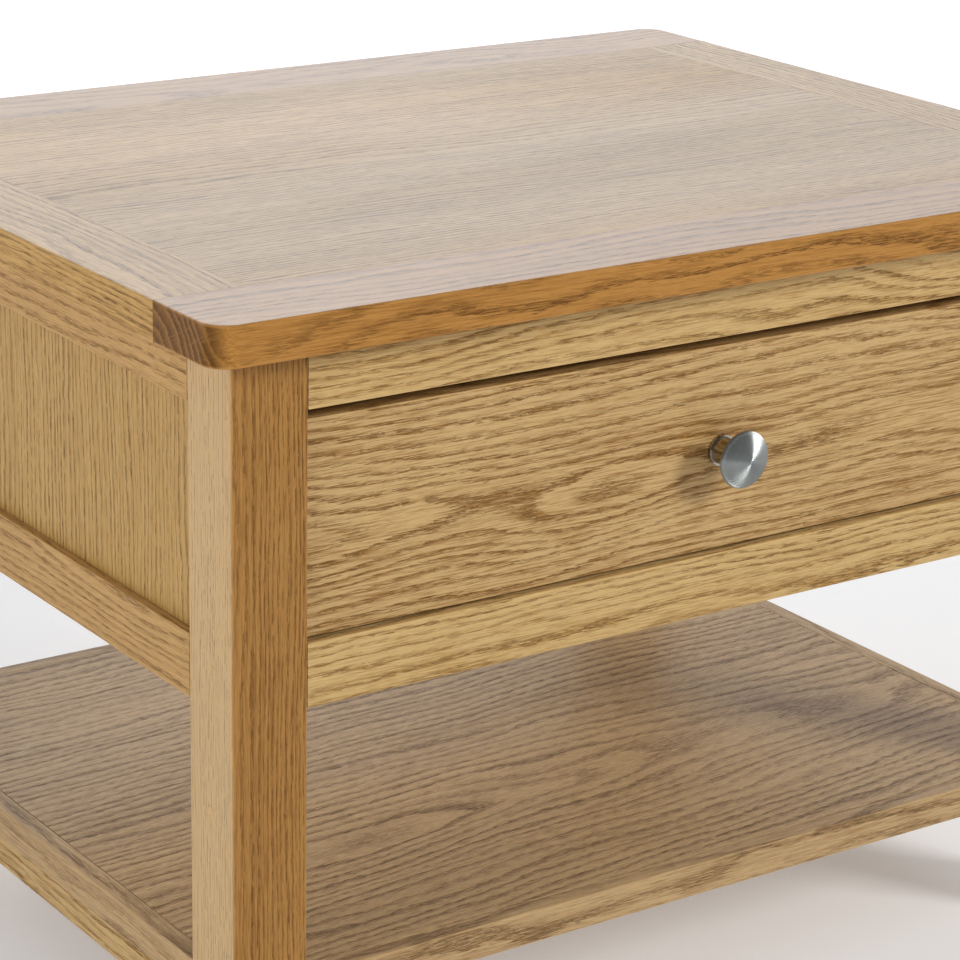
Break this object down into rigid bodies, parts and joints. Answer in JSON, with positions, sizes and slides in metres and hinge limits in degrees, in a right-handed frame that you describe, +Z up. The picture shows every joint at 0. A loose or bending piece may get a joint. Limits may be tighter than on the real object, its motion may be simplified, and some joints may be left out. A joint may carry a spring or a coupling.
{
  "type": "side table with drawer",
  "caption": "Low wooden side table with a framed overhanging top, square legs, a full-width drawer with a round metal knob, recessed side panels and a low shelf.",
  "frame": {"origin": "on the floor below the middle of the top, at the bottom centre of the bounding box", "axes": "+Z up, -Y towards the user in front of the drawer, +X to the right of that user's view"},
  "size_m": [0.676, 0.5435, 0.48],
  "materials": {
    "solid_oak": "satin lacquered oak",
    "oak_veneer": "satin lacquered oak veneer on board",
    "pale_inner_wood": "sealed hardwood",
    "plywood": "sealed plywood",
    "brushed_nickel": "brushed nickel plate",
    "plated_screw": "zinc plate",
    "brown_plastic": "moulded"
  },
  "bodies": {
    "carcass": {"top_front_board": "solid_oak", "top_back_board": "solid_oak", "top_left_board": "solid_oak", "top_right_board": "solid_oak", "top_field_panel": "solid_oak", "leg_front_left": "solid_oak", "leg_front_right": "solid_oak", "leg_back_left": "solid_oak", "leg_back_right": "solid_oak", "foot_glides": "brown_plastic", "front_upper_rail": "solid_oak", "front_lower_rail": "solid_oak", "back_upper_rail": "solid_oak", "back_lower_rail": "solid_oak", "left_upper_rail": "solid_oak", "left_lower_rail": "solid_oak", "right_upper_rail": "solid_oak", "right_lower_rail": "solid_oak", "left_panel": "oak_veneer", "right_panel": "oak_veneer", "back_panel": "oak_veneer", "left_runner": "pale_inner_wood", "right_runner": "pale_inner_wood", "left_kicker": "pale_inner_wood", "right_kicker": "pale_inner_wood", "left_guide": "pale_inner_wood", "right_guide": "pale_inner_wood", "guide_screws": "plated_screw", "left_stop": "pale_inner_wood", "right_stop": "pale_inner_wood", "corner_block_front_left": "pale_inner_wood", "corner_block_front_right": "pale_inner_wood", "corner_block_back_left": "pale_inner_wood", "corner_block_back_right": "pale_inner_wood", "corner_block_screws": "plated_screw", "top_buttons": "pale_inner_wood", "button_screws": "plated_screw", "shelf_panel": "oak_veneer", "shelf_front_lipping": "solid_oak", "shelf_back_lipping": "solid_oak", "shelf_left_lipping": "solid_oak", "shelf_right_lipping": "solid_oak", "left_stretcher": "solid_oak", "right_stretcher": "solid_oak", "shelf_screws": "plated_screw"},
    "drawer": {"drawer_front": "solid_oak", "drawer_left_side": "pale_inner_wood", "drawer_right_side": "pale_inner_wood", "drawer_back": "pale_inner_wood", "drawer_bottom": "plywood", "drawer_bottom_screws": "plated_screw", "knob": "brushed_nickel", "knob_screw": "plated_screw"}
  },
  "joints": [
    {"name": "drawer_slide", "type": "slide", "parent": "carcass", "child": "drawer", "axis": [0, -1, 0], "range_m": [0, 0.33]}
  ]
}
